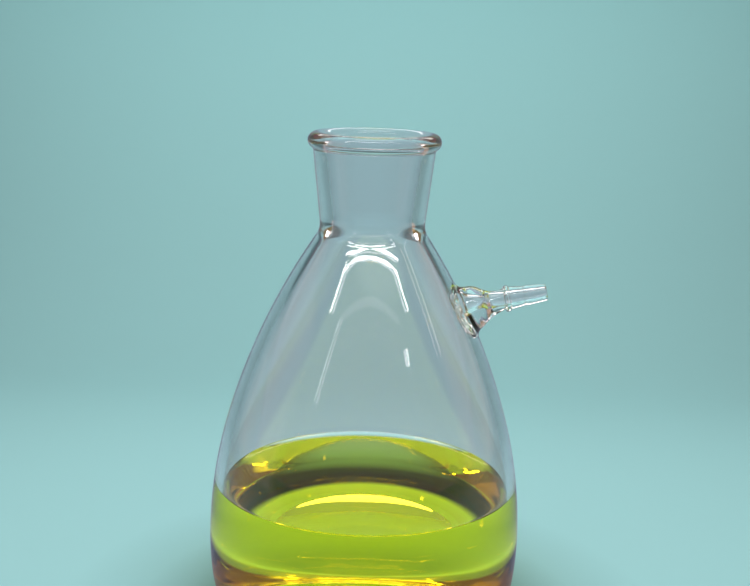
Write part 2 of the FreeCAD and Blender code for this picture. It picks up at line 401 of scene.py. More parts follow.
@dataclass
class HoseArm:
    """Sizes of the fused hose arm in millimetres, measured along its axis from the body."""

    body: Body
    root_height: float = 139.4
    tilt: float = 11.3
    length: float = 34.8
    flare_radius: float = 9.9
    flare_half_length: float = 8.2
    flare_drop: float = 2.0
    weld_width: float = 3.2
    waist_distance: float = 16.4
    waist_radius: float = 4.1
    ring_distance: float = 17.9
    ring_radius: float = 5.7
    ring_width: float = 2.6
    tail_start_radius: float = 4.9
    step_distance: float = 25.4
    step_height: float = 0.3
    step_length: float = 0.5
    tip_radius: float = 3.7
    tip_round: float = 0.9
    bore_start_distance: float = 8.5
    bore_start_radius: float = 2.9
    bore_tip_radius: float = 1.8
    pinch_distance: float = 5.5
    pinch_radius: float = 2.1
    funnel_distance: float = -4.0
    funnel_radius: float = 5.2
    funnel_weld_width: float = 1.2
    search_reach: float = 40.0
    search_rounds: int = 44
    ring_fullness: float = 0.7
    ring_rows: int = 17
    barb_shares: tuple[float, ...] = (0.35, 0.7, 1.0)
    tail_rows: tuple[int, int] = (7, 9)
    bore_rows: tuple[int, int, int] = (12, 8, 12)
    funnel_shortfall: float = 1.5
    outer_patch_rows: int = 6
    weld_rows: int = 7
    flare_rows: int = 18
    tip_rows: int = 13
    funnel_rows: int = 6
    inner_patch_rows: int = 8

    def frame(self) -> tuple[np.ndarray, np.ndarray, np.ndarray, np.ndarray]:
        """Works out where the arm stands.

        Returns:
            Its root, and the directions out along it, down across it and sideways.
        """
        tilt = math.radians(self.tilt)
        radius = float(self.body.side_radius(np.array(self.root_height), 0))
        out = np.array([math.cos(tilt), 0, math.sin(tilt)])
        down = np.array([math.sin(tilt), 0, -math.cos(tilt)])
        return np.array([radius, 0, self.root_height]), out, down, np.array([0.0, 1.0, 0.0])

    def in_space(self, down: np.ndarray, side: np.ndarray, out: np.ndarray) -> np.ndarray:
        """Points in the flask's frame: root + the distances times the arm's directions.

        Args:
            down: How far each point lies below the arm's axis.
            side: How far it lies beside the axis.
            out: How far it lies out along the axis.

        Returns:
            The points, with their three coordinates in the last dimension.
        """
        root, axis_out, axis_down, axis_side = self.frame()
        return (root + np.multiply.outer(down, axis_down) + np.multiply.outer(side, axis_side)
                + np.multiply.outer(out, axis_out))

    def onto_side(self, down: np.ndarray, side: np.ndarray, wall: float) -> np.ndarray:
        """Distance along the arm at which lines parallel to it pass a face of the side.

        The interval in which a line's point changes from inside the turned side to outside is
        halved again and again.

        Args:
            down: How far each line lies below the arm's axis.
            side: How far each line lies beside it.
            wall: 0 for the outside of the side, or its thickness for the inside.

        Returns:
            One distance for each line.
        """
        low = np.full(down.shape, -self.search_reach)
        high = np.full(down.shape, self.search_reach)
        for _ in range(self.search_rounds):
            middle = (low + high) / 2
            x, y, z = np.moveaxis(self.in_space(down, side, middle), -1, 0)
            beyond = np.hypot(x, y) > self.body.side_radius(z, wall)
            low = np.where(beyond, low, middle)
            high = np.where(beyond, middle, high)
        return (low + high) / 2

    def flare(self, out: np.ndarray) -> np.ndarray:
        """Radius of the flare: waist + (foot - waist) / (1 + (distance / half length)^4)."""
        spread = 1 / (1 + (np.maximum(out, 0) / self.flare_half_length) ** 4)
        return self.waist_radius + (self.flare_radius - self.waist_radius) * spread

    def drop(self, out: np.ndarray) -> np.ndarray:
        """How far the flare's centre lies below the axis: drop (1 - (distance / waist)²)."""
        share = np.clip(out, 0, self.waist_distance) / self.waist_distance
        return self.flare_drop * (1 - share ** 2)

    def tail(self) -> tuple[np.ndarray, np.ndarray]:
        """Works out the tail from the waist to the start of the tip's round.

        The ring's height is its crown times sin(t) to the power of its fullness, at equal
        angles t, on a base that eases from the waist to the tail. The tail is straight
        stretches with one small barb.

        Returns:
            The distances of its rings, going outwards, and their radii.
        """
        half = self.ring_width / 2
        angles = np.linspace(0, math.pi, self.ring_rows)
        ring_out = self.ring_distance - half * np.cos(angles)
        ring_end = ring_out[-1]
        base = self.waist_radius + (self.tail_start_radius - self.waist_radius) * smooth_step(
            self.ring_distance, ring_end + half / 2, ring_out)
        crown = self.ring_radius - self.waist_radius
        ring = np.maximum(base, self.waist_radius + crown * np.sin(angles) ** self.ring_fullness)
        tip_start = self.length - self.tip_round
        share = (self.step_distance - ring_end) / (tip_start - ring_end)
        at_step = self.tail_start_radius + share * (self.tip_radius - self.tail_start_radius)
        marks = [ring_end + half / 2, self.step_distance, self.step_distance + self.step_length,
                 tip_start]
        radii = [self.tail_start_radius, at_step - self.step_height, at_step, self.tip_radius]
        tail_out = np.concatenate([
            np.linspace(marks[0], marks[1], self.tail_rows[0]),
            marks[1] + self.step_length * np.array(self.barb_shares),
            np.linspace(marks[2], marks[3], self.tail_rows[1])[1:],
        ])
        return (np.concatenate([ring_out, tail_out]),
                np.concatenate([ring, np.interp(tail_out, marks, radii)]))

    def bore(self) -> tuple[np.ndarray, np.ndarray]:
        """Works out the bore: straight in the tail, eased to the pinch and to the funnel.

        Returns:
            The distances of its rings, from the tip's round inwards, and their radii.
        """
        marks = [self.length - self.tip_round, self.bore_start_distance, self.pinch_distance,
                 self.funnel_distance + self.funnel_shortfall]
        runs = [np.linspace(*ends, rows)
                for *ends, rows in zip(marks[:-1], marks[1:], self.bore_rows)]
        out = np.concatenate([runs[0], runs[1][1:], runs[2][1:]])
        slope = ((self.bore_tip_radius - self.bore_start_radius)
                 / (self.length - self.bore_start_distance))
        tail = self.bore_start_radius + slope * (out - self.bore_start_distance)
        pinched = self.pinch_radius + (self.bore_start_radius - self.pinch_radius) * smooth_step(
            self.pinch_distance, self.bore_start_distance, out)
        funnel = self.pinch_radius + (self.funnel_radius - self.pinch_radius) * smooth_step(
            self.pinch_distance, self.funnel_distance, out)
        inward = np.where(out < self.pinch_distance, funnel, pinched)
        return out, np.where(out < self.bore_start_distance, inward, tail)

    def rings(self, outer_loop: np.ndarray, inner_loop: np.ndarray) -> np.ndarray:
        """All rings of the arm between the two windows in the body, in order.

        Each ring has one point for each point of the window's edge. The rings run over the
        outside of the body, round the weld, along the flare and the tail, over the tip, back
        through the bore and over the inside of the body.

        Args:
            outer_loop: Edge of the window in the outside, seen from +X against the clock.
            inner_loop: Edge of the window in the inside, in the same order.

        Returns:
            Array of rings by points by 3, in millimetres.
        """
        root, _, down_axis, side_axis = self.frame()
        loop_down = (outer_loop - root) @ down_axis - self.flare_drop
        loop_side = (outer_loop - root) @ side_axis
        angles = np.arctan2(loop_side, loop_down)
        ray_down, ray_side = np.cos(angles), np.sin(angles)

        def ring(out: np.ndarray | float, radius: np.ndarray | float,
                 drop: np.ndarray | float = 0.0) -> np.ndarray:
            """Round section: drop + radius (cos, sin) across the arm, out along it."""
            return self.in_space(drop + radius * ray_down, radius * ray_side, out + 0 * angles)

        def on_body(radius: float, drop: float, wall: float) -> tuple[np.ndarray, np.ndarray]:
            """Ring carried along the arm onto a face of the body, and its distances."""
            out = self.onto_side(drop + radius * ray_down, radius * ray_side, wall)
            return ring(out, radius, drop), out

        def weld(first: np.ndarray, corner: np.ndarray, last: np.ndarray,
                 rows: int) -> list[np.ndarray]:
            """Round between two faces: (1-t)² first + 2t(1-t) corner + t² last."""
            return [(1 - t) ** 2 * first + 2 * t * (1 - t) * corner + t ** 2 * last
                    for t in np.linspace(0, 1, rows + 2)[1:-1]]

        foot, _ = on_body(self.flare_radius + self.weld_width, self.flare_drop, 0)
        corner, meet = on_body(self.flare_radius, self.flare_drop, 0)
        start = meet + self.weld_width
        flare = [ring(out, self.flare(out), self.drop(out))
                 for out in (start + share * (self.waist_distance - start)
                             for share in np.linspace(0, 1, self.flare_rows))]
        middle = (self.tip_radius + self.bore_tip_radius) / 2
        half = (self.tip_radius - self.bore_tip_radius) / 2
        tip = [ring(self.length - self.tip_round + self.tip_round * math.sin(turn),
                    middle + half * math.cos(turn))
               for turn in np.linspace(0, math.pi, self.tip_rows)[1:-1]]
        bore = [ring(out, radius) for out, radius in zip(*self.bore())]
        open_radius = self.bore()[1][-1]
        inner_corner, _ = on_body(open_radius, 0.0, self.body.wall)
        inner_foot, _ = on_body(open_radius + self.funnel_weld_width, 0.0, self.body.wall)
        return np.stack([
            *self.patch(outer_loop, foot, 0, self.outer_patch_rows), foot,
            *weld(foot, corner, flare[0], self.weld_rows), *flare,
            *(ring(out, radius) for out, radius in zip(*self.tail())), *tip, *bore,
            *weld(bore[-1], inner_corner, inner_foot, self.funnel_rows), inner_foot,
            *self.patch(inner_loop, inner_foot, self.body.wall, self.inner_patch_rows)[::-1],
        ])

    def patch(self, loop: np.ndarray, foot: np.ndarray, wall: float,
              rows: int) -> list[np.ndarray]:
        """Rings on a face of the body between the window's edge and the weld's foot.

        Angle and height about the body's axis run in equal shares from edge to foot, and the
        radius is the side's at that height.

        Args:
            loop: Points of the window's edge.
            foot: Points of the weld's foot.
            wall: 0 for the outside of the body, or its thickness for the inside.
            rows: How many rings.

        Returns:
            The rings, from the edge inwards.
        """
        ends = [(np.arctan2(edge[:, 1], edge[:, 0]), edge[:, 2]) for edge in (loop, foot)]
        rings = []
        for share in np.linspace(0, 1, rows + 2)[1:-1]:
            turn, height = (a + share * (b - a) for a, b in zip(*ends))
            radius = self.body.side_radius(height, wall)
            rings.append(np.stack([radius * np.cos(turn), radius * np.sin(turn), height], axis=1))
        return rings


def grid_faces(index: np.ndarray, closed: bool = True) -> np.ndarray:
    """Four-cornered faces between neighbouring rows and columns of a grid of points.

    Args:
        index: Rows by columns of indices of points.
        closed: Whether each row closes on itself.

    Returns:
        Array of faces by rows by columns by 4 corner indices.
    """
    left, right = (index, np.roll(index, -1, axis=1)) if closed else (index[:, :-1], index[:, 1:])
    return np.stack([left[:-1], right[:-1], right[1:], left[1:]], axis=-1)


def turned_points(outline: np.ndarray, columns: int) -> np.ndarray:
    """Turns rows about Z: (radius cos t, radius sin t, height) for equal angles t.

    Args:
        outline: Rows by 2, radius and height.
        columns: How many angles.

    Returns:
        Array of rows by columns by 3.
    """
    angles = np.arange(columns) * 2 * math.pi / columns
    return np.stack([np.multiply.outer(outline[:, 0], np.cos(angles)),
                     np.multiply.outer(outline[:, 0], np.sin(angles)),
                     np.repeat(outline[:, 1][:, None], columns, axis=1)], axis=-1)


def cap_faces(rows: int, columns: int, poles: int) -> np.ndarray:
    """Three-cornered faces that close the first and the last row of a turned grid.

    Args:
        rows: Number of rows of the grid, whose points come first in the piece.
        columns: Number of points in each row.
        poles: Index of the first row's pole, which the last row's pole follows.

    Returns:
        Array of faces by 3 corner indices, those of the first row first.
    """
    first = np.arange(columns)
    following = np.roll(first, -1)
    last = (rows - 1) * columns
    return np.concatenate([
        np.stack([following, first, np.full(columns, poles)], axis=-1),
        np.stack([last + first, last + following, np.full(columns, poles + 1)], axis=-1),
    ])


def make_piece(name: str, points: np.ndarray, quads: np.ndarray,
               triangles: np.ndarray = np.zeros((0, 3), dtype=int),
               unit: float = MM) -> bpy.types.Object:
    """Puts computed points and faces into a smooth mesh object at the origin.

    Args:
        name: Name of the piece.
        points: Array of points, in the unit; those that no face uses are left out.
        quads: Array of four-cornered faces.
        triangles: Faces by 3, which come after the quads.
        unit: Length in metres that the points are counted in.

    Returns:
        The new object.
    """
    points = points.reshape(-1, 3)
    corners = np.concatenate([quads.ravel(), triangles.ravel()])
    used, corners = np.unique(corners, return_inverse=True)
    sizes = np.concatenate([np.full(quads.size // 4, 4), np.full(len(triangles), 3)])
    starts = np.concatenate([[0], np.cumsum(sizes)[:-1]])
    mesh = bpy.data.meshes.new(name)
    mesh.vertices.add(len(used))
    mesh.vertices.foreach_set("co", (points[used] * unit).astype(np.float32).ravel())
    mesh.loops.add(len(corners))
    mesh.loops.foreach_set("vertex_index", corners.astype(np.int32))
    mesh.polygons.add(len(sizes))
    mesh.polygons.foreach_set("loop_start", starts.astype(np.int32))
    mesh.polygons.foreach_set("use_smooth", np.ones(len(sizes), dtype=bool))
    mesh.update(calc_edges=True)
    piece = bpy.data.objects.new(name, mesh)
    bpy.context.collection.objects.link(piece)
    return piece


@dataclass(frozen=True)
class NodeLine:
    """Short forms for building a node tree."""

    tree: bpy.types.NodeTree

    def node(self, kind: str, inputs: dict[str | int, Fill] | None = None,
             **settings: object) -> bpy.types.Node:
        """Adds a node.

        Args:
            kind: Class of the node.
            inputs: What each input gets, by its name or number.
            settings: Properties of the node.

        Returns:
            The node.
        """
        new = self.tree.nodes.new(kind)
        for key, value in settings.items():
            setattr(new, key, value)
        for key, value in (inputs or {}).items():
            self.fill(new.inputs[key], value)
        return new

    def fill(self, socket: Socket, value: Fill) -> None:
        """Links an input to a source or sets its value, where a colour gets full alpha.

        Args:
            socket: The input.
            value: The source, or the value.
        """
        if isinstance(value, Socket):
            self.tree.links.new(value, socket)
        else:
            socket.default_value = (*value, 1) if socket.type == "RGBA" else value

    def math(self, operation: str, *values: Fill, clamp: bool = False) -> Socket:
        """Result of an operation on numbers."""
        return self.node("ShaderNodeMath", dict(enumerate(values)), operation=operation,
                         use_clamp=clamp).outputs[0]

    def vector(self, operation: str, *values: Fill, result: str = "Vector") -> Socket:
        """Result of an operation on vectors or colours, or its Value where that is asked for."""
        return self.node("ShaderNodeVectorMath", dict(enumerate(values)),
                         operation=operation).outputs[result]

    def ramp(self, value: Socket, ramp: Ramp) -> Socket:
        """A ramp's value at a number.

        Args:
            value: The number.
            ramp: The ramp.

        Returns:
            The output that has the value.
        """
        kind = "LINEAR" if ramp.straight else "SMOOTHSTEP"
        inputs = {"Value": value, "From Min": ramp.start, "From Max": ramp.end,
                  "To Min": ramp.low, "To Max": ramp.high}
        return self.node("ShaderNodeMapRange", inputs, interpolation_type=kind).outputs[0]

    def mix(self, share: Socket, first: Fill, second: Fill) -> Socket:
        """Colour that is the first where the share is 0 and the second where it is 1."""
        return self.node("ShaderNodeMix", {"Factor": share, "A": first, "B": second},
                         data_type="RGBA").outputs["Result"]

    def choose(self, ray: Ray, others: Socket, chosen: Socket) -> Socket:
        """Shader that rays of one kind see as chosen, and other rays as others."""
        inputs = {0: self.ray(ray), 1: others, 2: chosen}
        return self.node("ShaderNodeMixShader", inputs).outputs[0]

    def ray(self, ray: Ray) -> Socket:
        """1 for rays of a kind, and 0 for others."""
        return self.node("ShaderNodeLightPath").outputs[ray.value]

    def show(self, output: bpy.types.Node, shader: Socket, tint: Colour) -> None:
        """Makes a shader the surface, through which the lamps' light passes with a tint."""
        clear = self.node("ShaderNodeBsdfTransparent", {"Color": tint}).outputs[0]
        self.fill(output.inputs["Surface"], self.choose(Ray.SHADOW, shader, clear))


def new_material(name: str) -> tuple[bpy.types.Material, NodeLine, bpy.types.Node]:
    """Makes an empty node material.

    Args:
        name: Name of the material.

    Returns:
        The material, its tree and its output node.
    """
    material = bpy.data.materials.new(name)
    material.use_nodes = True
    material.node_tree.nodes.clear()
    nodes = NodeLine(material.node_tree)
    return material, nodes, nodes.node("ShaderNodeOutputMaterial")


def waviness_group() -> bpy.types.NodeTree:
    """Node group for the faint waves that blowing and turning leave on the glass.

    Noise over Object coordinates, stretched by a scale for each axis, gives the height.

    Returns:
        The group, with inputs Stretch and Detail and output Height.
    """
    group = bpy.data.node_groups.new("drawn_waves", "ShaderNodeTree")
    for name, way, kind in (("Stretch", "INPUT", "Vector"), ("Detail", "INPUT", "Float"),
                            ("Height", "OUTPUT", "Float")):
        group.interface.new_socket(name, in_out=way, socket_type=f"NodeSocket{kind}")
    nodes = NodeLine(group)
    given = nodes.node("NodeGroupInput").outputs
    place = nodes.node("ShaderNodeTexCoord").outputs["Object"]
    noise = nodes.node("ShaderNodeTexNoise", {
        "Vector": nodes.vector("MULTIPLY", place, given["Stretch"]), "Scale": 1.0,
        "Detail": given["Detail"]})
    nodes.node("NodeGroupOutput", {"Height": noise.outputs["Fac"]})
    return group


@dataclass(frozen=True)
class BlownGlass:
    """Finish of the flask: clear lab glass with faint waves left by blowing and turning."""

    name: str = "blown_glass"
    tint: Colour = (0.975, 0.9, 0.945)
    ior: float = GLASS_IOR
    roughness: float = 0.0
    lamp_tint: Colour = (0.97, 0.97, 0.97)
    wave_stretch: tuple[float, float, float] = (34.0, 34.0, 11.0)
    wave_detail: float = 2.0
    wave_height: float = 0.00004

    def material(self, waves: bpy.types.NodeTree) -> bpy.types.Material:
        """Glass that bends and mirrors what is round it and lets the lamps' light pass.

        Args:
            waves: The node group of the waves.

        Returns:
            The material.
        """
        material, nodes, output = new_material(self.name)
        drawn = nodes.node("ShaderNodeGroup", {"Stretch": self.wave_stretch,
                                               "Detail": self.wave_detail}, node_tree=waves)
        bump = nodes.node("ShaderNodeBump", {"Strength": 1.0, "Distance": self.wave_height,
                                             "Height": drawn.outputs["Height"]})
        glass = nodes.node("ShaderNodeBsdfPrincipled", {
            "Base Color": self.tint, "Metallic": 0.0, "Roughness": self.roughness,
            "IOR": self.ior, "Transmission Weight": 1.0, "Normal": bump.outputs["Normal"]})
        nodes.show(output, glass.outputs["BSDF"], self.lamp_tint)
        return material


@dataclass(frozen=True)
class DyedSolution:
    """Finish of the filling: clear water with a yellow-green dye, which takes up blue light."""

    pass_colour: Colour = (0.995, 0.978, 0.42)
    density: float = 60.0

    def material(self) -> bpy.types.Material:
        """Clear liquid whose depth of colour grows with the way that light takes through it.

        Light bends at the open top alone: against the glass it does so at the glass's own
        face. So the index is 1 plus the top mark times the rest of water's.

        Returns:
            The material.
        """
        material, nodes, output = new_material("dyed_solution")
        top = nodes.node("ShaderNodeAttribute", attribute_name=TOP_MARK).outputs["Fac"]
        water = nodes.node("ShaderNodeBsdfPrincipled", {
            "Base Color": WHITE, "Metallic": 0.0, "Roughness": 0.0,
            "IOR": nodes.math("MULTIPLY_ADD", top, WATER_IOR - 1, 1.0),
            "Transmission Weight": 1.0})
        nodes.show(output, water.outputs["BSDF"], WHITE)
        dye = nodes.node("ShaderNodeVolumeAbsorption", {"Color": self.pass_colour,
                                                        "Density": self.density})
        nodes.fill(output.inputs["Volume"], dye.outputs["Volume"])
        return material


@dataclass
class Flask:
    """The one piece of glass: body, neck, bead and fused hose arm."""

    body: Body
    arm: HoseArm
    contact: float
    columns: int = 192
    window_columns: int = 13

    def window_loop(self, row: int, rows: int) -> np.ndarray:
        """Grid indices round a window's edge, from its lower left corner against the clock.

        Args:
            row: Row of the window's lower edge.
            rows: Rows up to its upper edge, below 0 where rows run downwards.

        Returns:
            Indices into the grid's points, taken row by row.
        """
        reach, step = self.window_columns, (1 if rows > 0 else -1)
        across = np.arange(-reach, reach)
        up = row + np.arange(0, rows, step)
        sides = [
            (np.full(across.shape, row), across),
            (up, np.full(up.shape, reach)),
            (np.full(across.shape, row + rows), -across),
            (row + rows - np.arange(0, rows, step), np.full(up.shape, -reach)),
        ]
        return np.concatenate([r * self.columns + c % self.columns for r, c in sides])

    def in_window(self, row: int, rows: int, total: int) -> np.ndarray:
        """Marks the grid's faces that a window takes out.

        Args:
            row: Row of the window's lower edge.
            rows: Rows up to its upper edge, below 0 where rows run downwards.
            total: Rows of faces in the grid.

        Returns:
            Mask of rows by columns.
        """
        first, last = min(row, row + rows), max(row, row + rows)
        face_rows = np.arange(total)[:, None]
        columns = (np.arange(self.columns)[None, :] + self.window_columns) % self.columns
        return (face_rows >= first) & (face_rows < last) & (columns < 2 * self.window_columns)

    def build(self) -> bpy.types.Object:
        """Makes the glass as one closed surface.

        The section of body and neck, out and back, is turned about Z, without its first row,
        which is the pole. A window is left in the outside and in the inside of the shoulder,
        and the rings of the arm join the two. Faces of the inside below the filling's contact
        have the second finish.

        Returns:
            The glass.
        """
        outline = Outline()
        outer_row = self.body.outside(outline) - 1
        inner_row, wet_row = (row - 1 for row in self.body.inside(outline, self.contact))
        grid = turned_points(outline.points()[1:], self.columns)
        height = self.body.window_rows
        outer_loop = self.window_loop(outer_row, height)
        inner_loop = self.window_loop(inner_row, -height)
        flat = grid.reshape(-1, 3)
        rings = self.arm.rings(flat[outer_loop], flat[inner_loop])
        punt = self.body.punt_depth
        poles = np.array([[0, 0, punt], [0, 0, self.body.floor_thickness + punt]])
        points = np.concatenate([flat, rings.reshape(-1, 3), poles])

        quads = grid_faces(np.arange(len(flat)).reshape(len(grid), -1))
        taken = (self.in_window(outer_row, height, len(quads))
                 | self.in_window(inner_row, -height, len(quads)))
        wetted = np.broadcast_to(np.arange(len(quads))[:, None] >= wet_row, taken.shape)[~taken]
        index = len(flat) + np.arange(rings.size // 3).reshape(len(rings), -1)
        arm_quads = grid_faces(np.concatenate([outer_loop[None], index, inner_loop[None]]))
        quads = np.concatenate([quads[~taken], arm_quads.reshape(-1, 4)])
        caps = cap_faces(len(grid), self.columns, len(points) - 2)
        piece = make_piece("flask_glass", points, quads, caps)
        dry = len(quads) - len(wetted) + self.columns
        finishes = np.concatenate([wetted, np.zeros(dry), np.ones(self.columns)])
        piece.data.polygons.foreach_set("material_index", finishes.astype(np.int32))
        return piece

    def dress(self, piece: bpy.types.Object, waves: bpy.types.NodeTree) -> None:
        """Gives the glass its finishes, dry and wetted, and its place on the model.

        Args:
            piece: The glass.
            waves: The node group of the waves.
        """
        piece.data.materials.append(BlownGlass().material(waves))
        wetted = BlownGlass(name="wetted_glass", ior=GLASS_IOR / WATER_IOR)
        piece.data.materials.append(wetted.material(waves))
        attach(piece, "root")
        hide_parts("flask")


@dataclass
class Filling:
    """The solution: what the inside of the glass holds, with a level top that climbs the wall."""

    body: Body
    fill_height: float = 59.5
    meniscus_rise: float = 1.4
    meniscus_reach: float = 3.2
    clearance: float = 0.05
    columns: int = 160

    def contact(self) -> float:
        """Height in millimetres at which the filling's top meets the glass."""
        return self.fill_height + self.meniscus_rise

    def build(self) -> bpy.types.Object:
        """Makes the filling as one turned, closed surface, a hair's breadth off the glass.

        Its faces at the open top carry a mark of 1, the others 0.

        Returns:
            The filling.
        """
        body = self.body
        wall = body.wall + self.clearance
        contact = self.contact()
        rim = float(body.side_radius(np.array(contact), wall))
        reach, rise = self.meniscus_reach, self.meniscus_rise
        curve_radius = (reach ** 2 + rise ** 2) / (2 * rise)
        curve_centre = (rim - reach, self.fill_height + curve_radius)
        outline = Outline(turn_step=6.0)
        outline.line((0, self.fill_height), (curve_centre[0], self.fill_height))
        outline.arc(curve_centre, curve_radius, -90, bearing(curve_centre, (rim, contact)))
        upper = body.side()[1]
        rim_row = outline.arc(upper[0], upper[1] - wall, body.side_angle(1, contact, wall), 0)
        low = body.floor_thickness + self.clearance
        round_radius = body.inner_heel_radius - self.clearance
        heel = body.heel(wall, round_radius, low)
        body.floor_rows(outline, heel, wall, round_radius, low)
        grid = turned_points(outline.points()[:0:-1], self.columns)
        poles = np.array([[0, 0, low + body.punt_depth], [0, 0, self.fill_height]])
        points = np.concatenate([grid.reshape(-1, 3), poles])
        quads = grid_faces(np.arange(grid.size // 3).reshape(len(grid), -1))
        caps = cap_faces(len(grid), self.columns, len(points) - 2)
        piece = make_piece("green_solution", points, quads, caps)
        on_top = np.arange(len(quads)) >= len(grid) - rim_row
        marks = np.concatenate([np.repeat(on_top, self.columns), np.zeros(self.columns),
                                np.ones(self.columns)])
        attribute = piece.data.attributes.new(TOP_MARK, "FLOAT", "FACE")
        attribute.data.foreach_set("value", marks.astype(np.float32))
        return piece

    def dress(self, piece: bpy.types.Object) -> None:
        """Gives the filling its finish and its place on the model.

        Args:
            piece: The filling.
        """
        piece.data.materials.append(DyedSolution().material())
        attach(piece, "root")
        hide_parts("liquid")


@dataclass
class Sweep:
    """Pale teal paper that runs from the table up into the backdrop, in metres."""

    front: float = -6.0
    floor_end: float = 0.32
    curve_radius: float = 0.30
    top: float = 0.46
    half_width: float = 6.0
    curve_rows: int = 24
    colour: Colour = linear(158, 206, 207)
    # Painted shadow round the flask's foot on the table: colour by radius from the axis, out to
    # this reach.
    painted_shade_reach: float = 0.25
    painted_shades: tuple[tuple[float, Colour], ...] = (
        (0.0, (0.1, 0.1, 0.1)), (0.04, (0.15, 0.15, 0.15)), (0.06, (0.4, 0.4, 0.4)),
        (0.08, (0.66, 0.66, 0.66)), (0.1, (0.87, 0.87, 0.87)), (0.135, WHITE))
    # Painted light and shadow on the table that only rays through glass see: a bright painted pool
    # of light under the foot, a dark painted shadow ring just outside it, brighter painted rings
    # further out.
    painted_light_and_shadow_below: tuple[tuple[float, Colour], ...] = (
        (0.0, (2.3, 2.4, 1.1)), (0.0525, (2.3, 2.4, 1.1)), (0.057, (0.05, 0.05, 0.02)),
        (0.066, (0.06, 0.07, 0.04)), (0.071, (0.07, 0.09, 0.04)), (0.078, (0.66, 0.85, 0.7)),
        (0.084, (0.85, 1.0, 0.85)), (0.091, (0.7, 0.87, 0.78)), (0.118, (1.45, 1.6, 1.5)),
        (0.145, (1.35, 1.45, 1.4)), (0.2, WHITE))
    height_weight: float = 100.0
    # Painted shade towards the sides, and painted light up the wall and towards the front of the
    # table.
    painted_side_shade: float = 1.7
    painted_side_least: float = 0.72
    painted_wall_light: Ramp = Ramp(0.03, 0.27, 1.0, 1.13)
    painted_table_light: Ramp = Ramp(0.6, -0.05, 0.88, 1.16, straight=True)
    # Painted reflection tint: the paper darker and pinker where mirrors show it.
    painted_reflection_tint: Colour = (0.85, 0.52, 0.68)
    # Painted shade on a strip of the wall that only rays through glass see, between these heights.
    painted_band_shade: float = 0.3
    painted_band_start: Ramp = Ramp(0.2, 0.26)
    painted_band_end: Ramp = Ramp(0.34, 0.38)
    roughness: float = 0.9
    specular: float = 0.1

    def build(self) -> bpy.types.Object:
        """Floor, quarter round and wall: the same side view carried across the width.

        Returns:
            The paper.
        """
        turn = np.linspace(-math.pi / 2, 0, self.curve_rows)
        curve_y = self.floor_end + self.curve_radius * np.cos(turn)
        curve_z = self.curve_radius + self.curve_radius * np.sin(turn)
        y = np.concatenate([[self.front], curve_y, [self.floor_end + self.curve_radius]])
        z = np.concatenate([[0.0], curve_z, [self.top]])
        columns = np.array([-self.half_width, self.half_width])
        points = np.stack([np.repeat(columns[None], len(y), 0),
                           np.repeat(y[:, None], 2, 1), np.repeat(z[:, None], 2, 1)], axis=-1)
        quads = grid_faces(np.arange(len(y) * 2).reshape(-1, 2), closed=False)
        sweep = make_piece("paper_sweep", points, quads, unit=1.0)
        return sweep

    def dress(self, sweep: bpy.types.Object) -> None:
        """Matte paper with painted shadow and light: darker round the foot and towards the sides,
        brighter up the wall.

        The painted shadow follows the distance from the flask's axis, in which height counts so
        much that the wall has none; what shows through glass has painted light and shadow in its
        place, for the light that the flask gathers there. The sides lose a painted share times x²,
        and painted light brightens the wall towards its top and the table towards the front.
        Mirrors see the paper with a painted tint, dimmer, and through glass a strip of the wall
        over the picture has painted shade.

        Args:
            sweep: The paper.
        """
        material, nodes, output = new_material("teal_paper")
        place = nodes.node("ShaderNodeTexCoord").outputs["Object"]
        x, y, z = nodes.node("ShaderNodeSeparateXYZ", {0: place}).outputs
        across = 1 / self.painted_shade_reach
        near = nodes.vector("MULTIPLY", place, (across, across, self.height_weight))
        distance = nodes.vector("LENGTH", near, result="Value")
        through = nodes.ray(Ray.THROUGH_GLASS)
        # Painted shadow round the foot, and for rays through glass painted light and shadow
        # instead.
        shade = nodes.mix(through, self.shade(nodes, distance, self.painted_shades),
                          self.shade(nodes, distance, self.painted_light_and_shadow_below))
        # Painted shade towards the sides of the paper.
        painted_side_factor = nodes.math("MULTIPLY_ADD", nodes.math("MULTIPLY", x, x), -self.painted_side_shade, 1.0)
        # Painted shade strip on the wall, for rays through glass alone.
        painted_band_mask = nodes.math("SUBTRACT", nodes.ramp(z, self.painted_band_start), nodes.ramp(z, self.painted_band_end))
        painted_band_factor = nodes.math("MULTIPLY_ADD", nodes.math("MULTIPLY", painted_band_mask, through),
                            self.painted_band_shade - 1, 1.0)
        painted_light_gain = nodes.math("MAXIMUM", painted_side_factor, self.painted_side_least)
        # Painted light up the wall and towards the front, and the painted shade strip seen through
        # glass.
        for factor in (nodes.ramp(z, self.painted_wall_light), nodes.ramp(y, self.painted_table_light), painted_band_factor):
            painted_light_gain = nodes.math("MULTIPLY", painted_light_gain, factor)
        # Painted reflection tint for rays that mirrors send, not those through glass.
        mirror = nodes.math("SUBTRACT", nodes.ray(Ray.MIRRORED), through, clamp=True)
        for factor in (painted_light_gain, self.colour, nodes.mix(mirror, WHITE, self.painted_reflection_tint)):
            shade = nodes.vector("MULTIPLY", shade, factor)
        paper = nodes.node("ShaderNodeBsdfPrincipled", {
            "Base Color": shade, "Roughness": self.roughness,
            "Specular IOR Level": self.specular})
        nodes.fill(output.inputs["Surface"], paper.outputs["BSDF"])
        sweep.data.materials.append(material)

    def shade(self, nodes: NodeLine, distance: Socket,
              painted_shades: tuple[tuple[float, Colour], ...]) -> Socket:
        """Painted shadow and light at a distance from the axis, straight between stops at stated
        radii.

        Args:
            nodes: The material's tree.
            distance: The distance as a share of the shades' reach.
            painted_shades: Radius and colour of each shade.

        Returns:
            The output that has the colour.
        """
        ramp = nodes.node("ShaderNodeValToRGB", {"Fac": distance})
        stops = ramp.color_ramp.elements
        while len(stops) < len(painted_shades):
            stops.new(1.0)
        for stop, (radius, colour) in zip(stops, painted_shades):
            stop.position = radius / self.painted_shade_reach
            stop.color = (*colour, 1)
        return ramp.outputs["Color"]


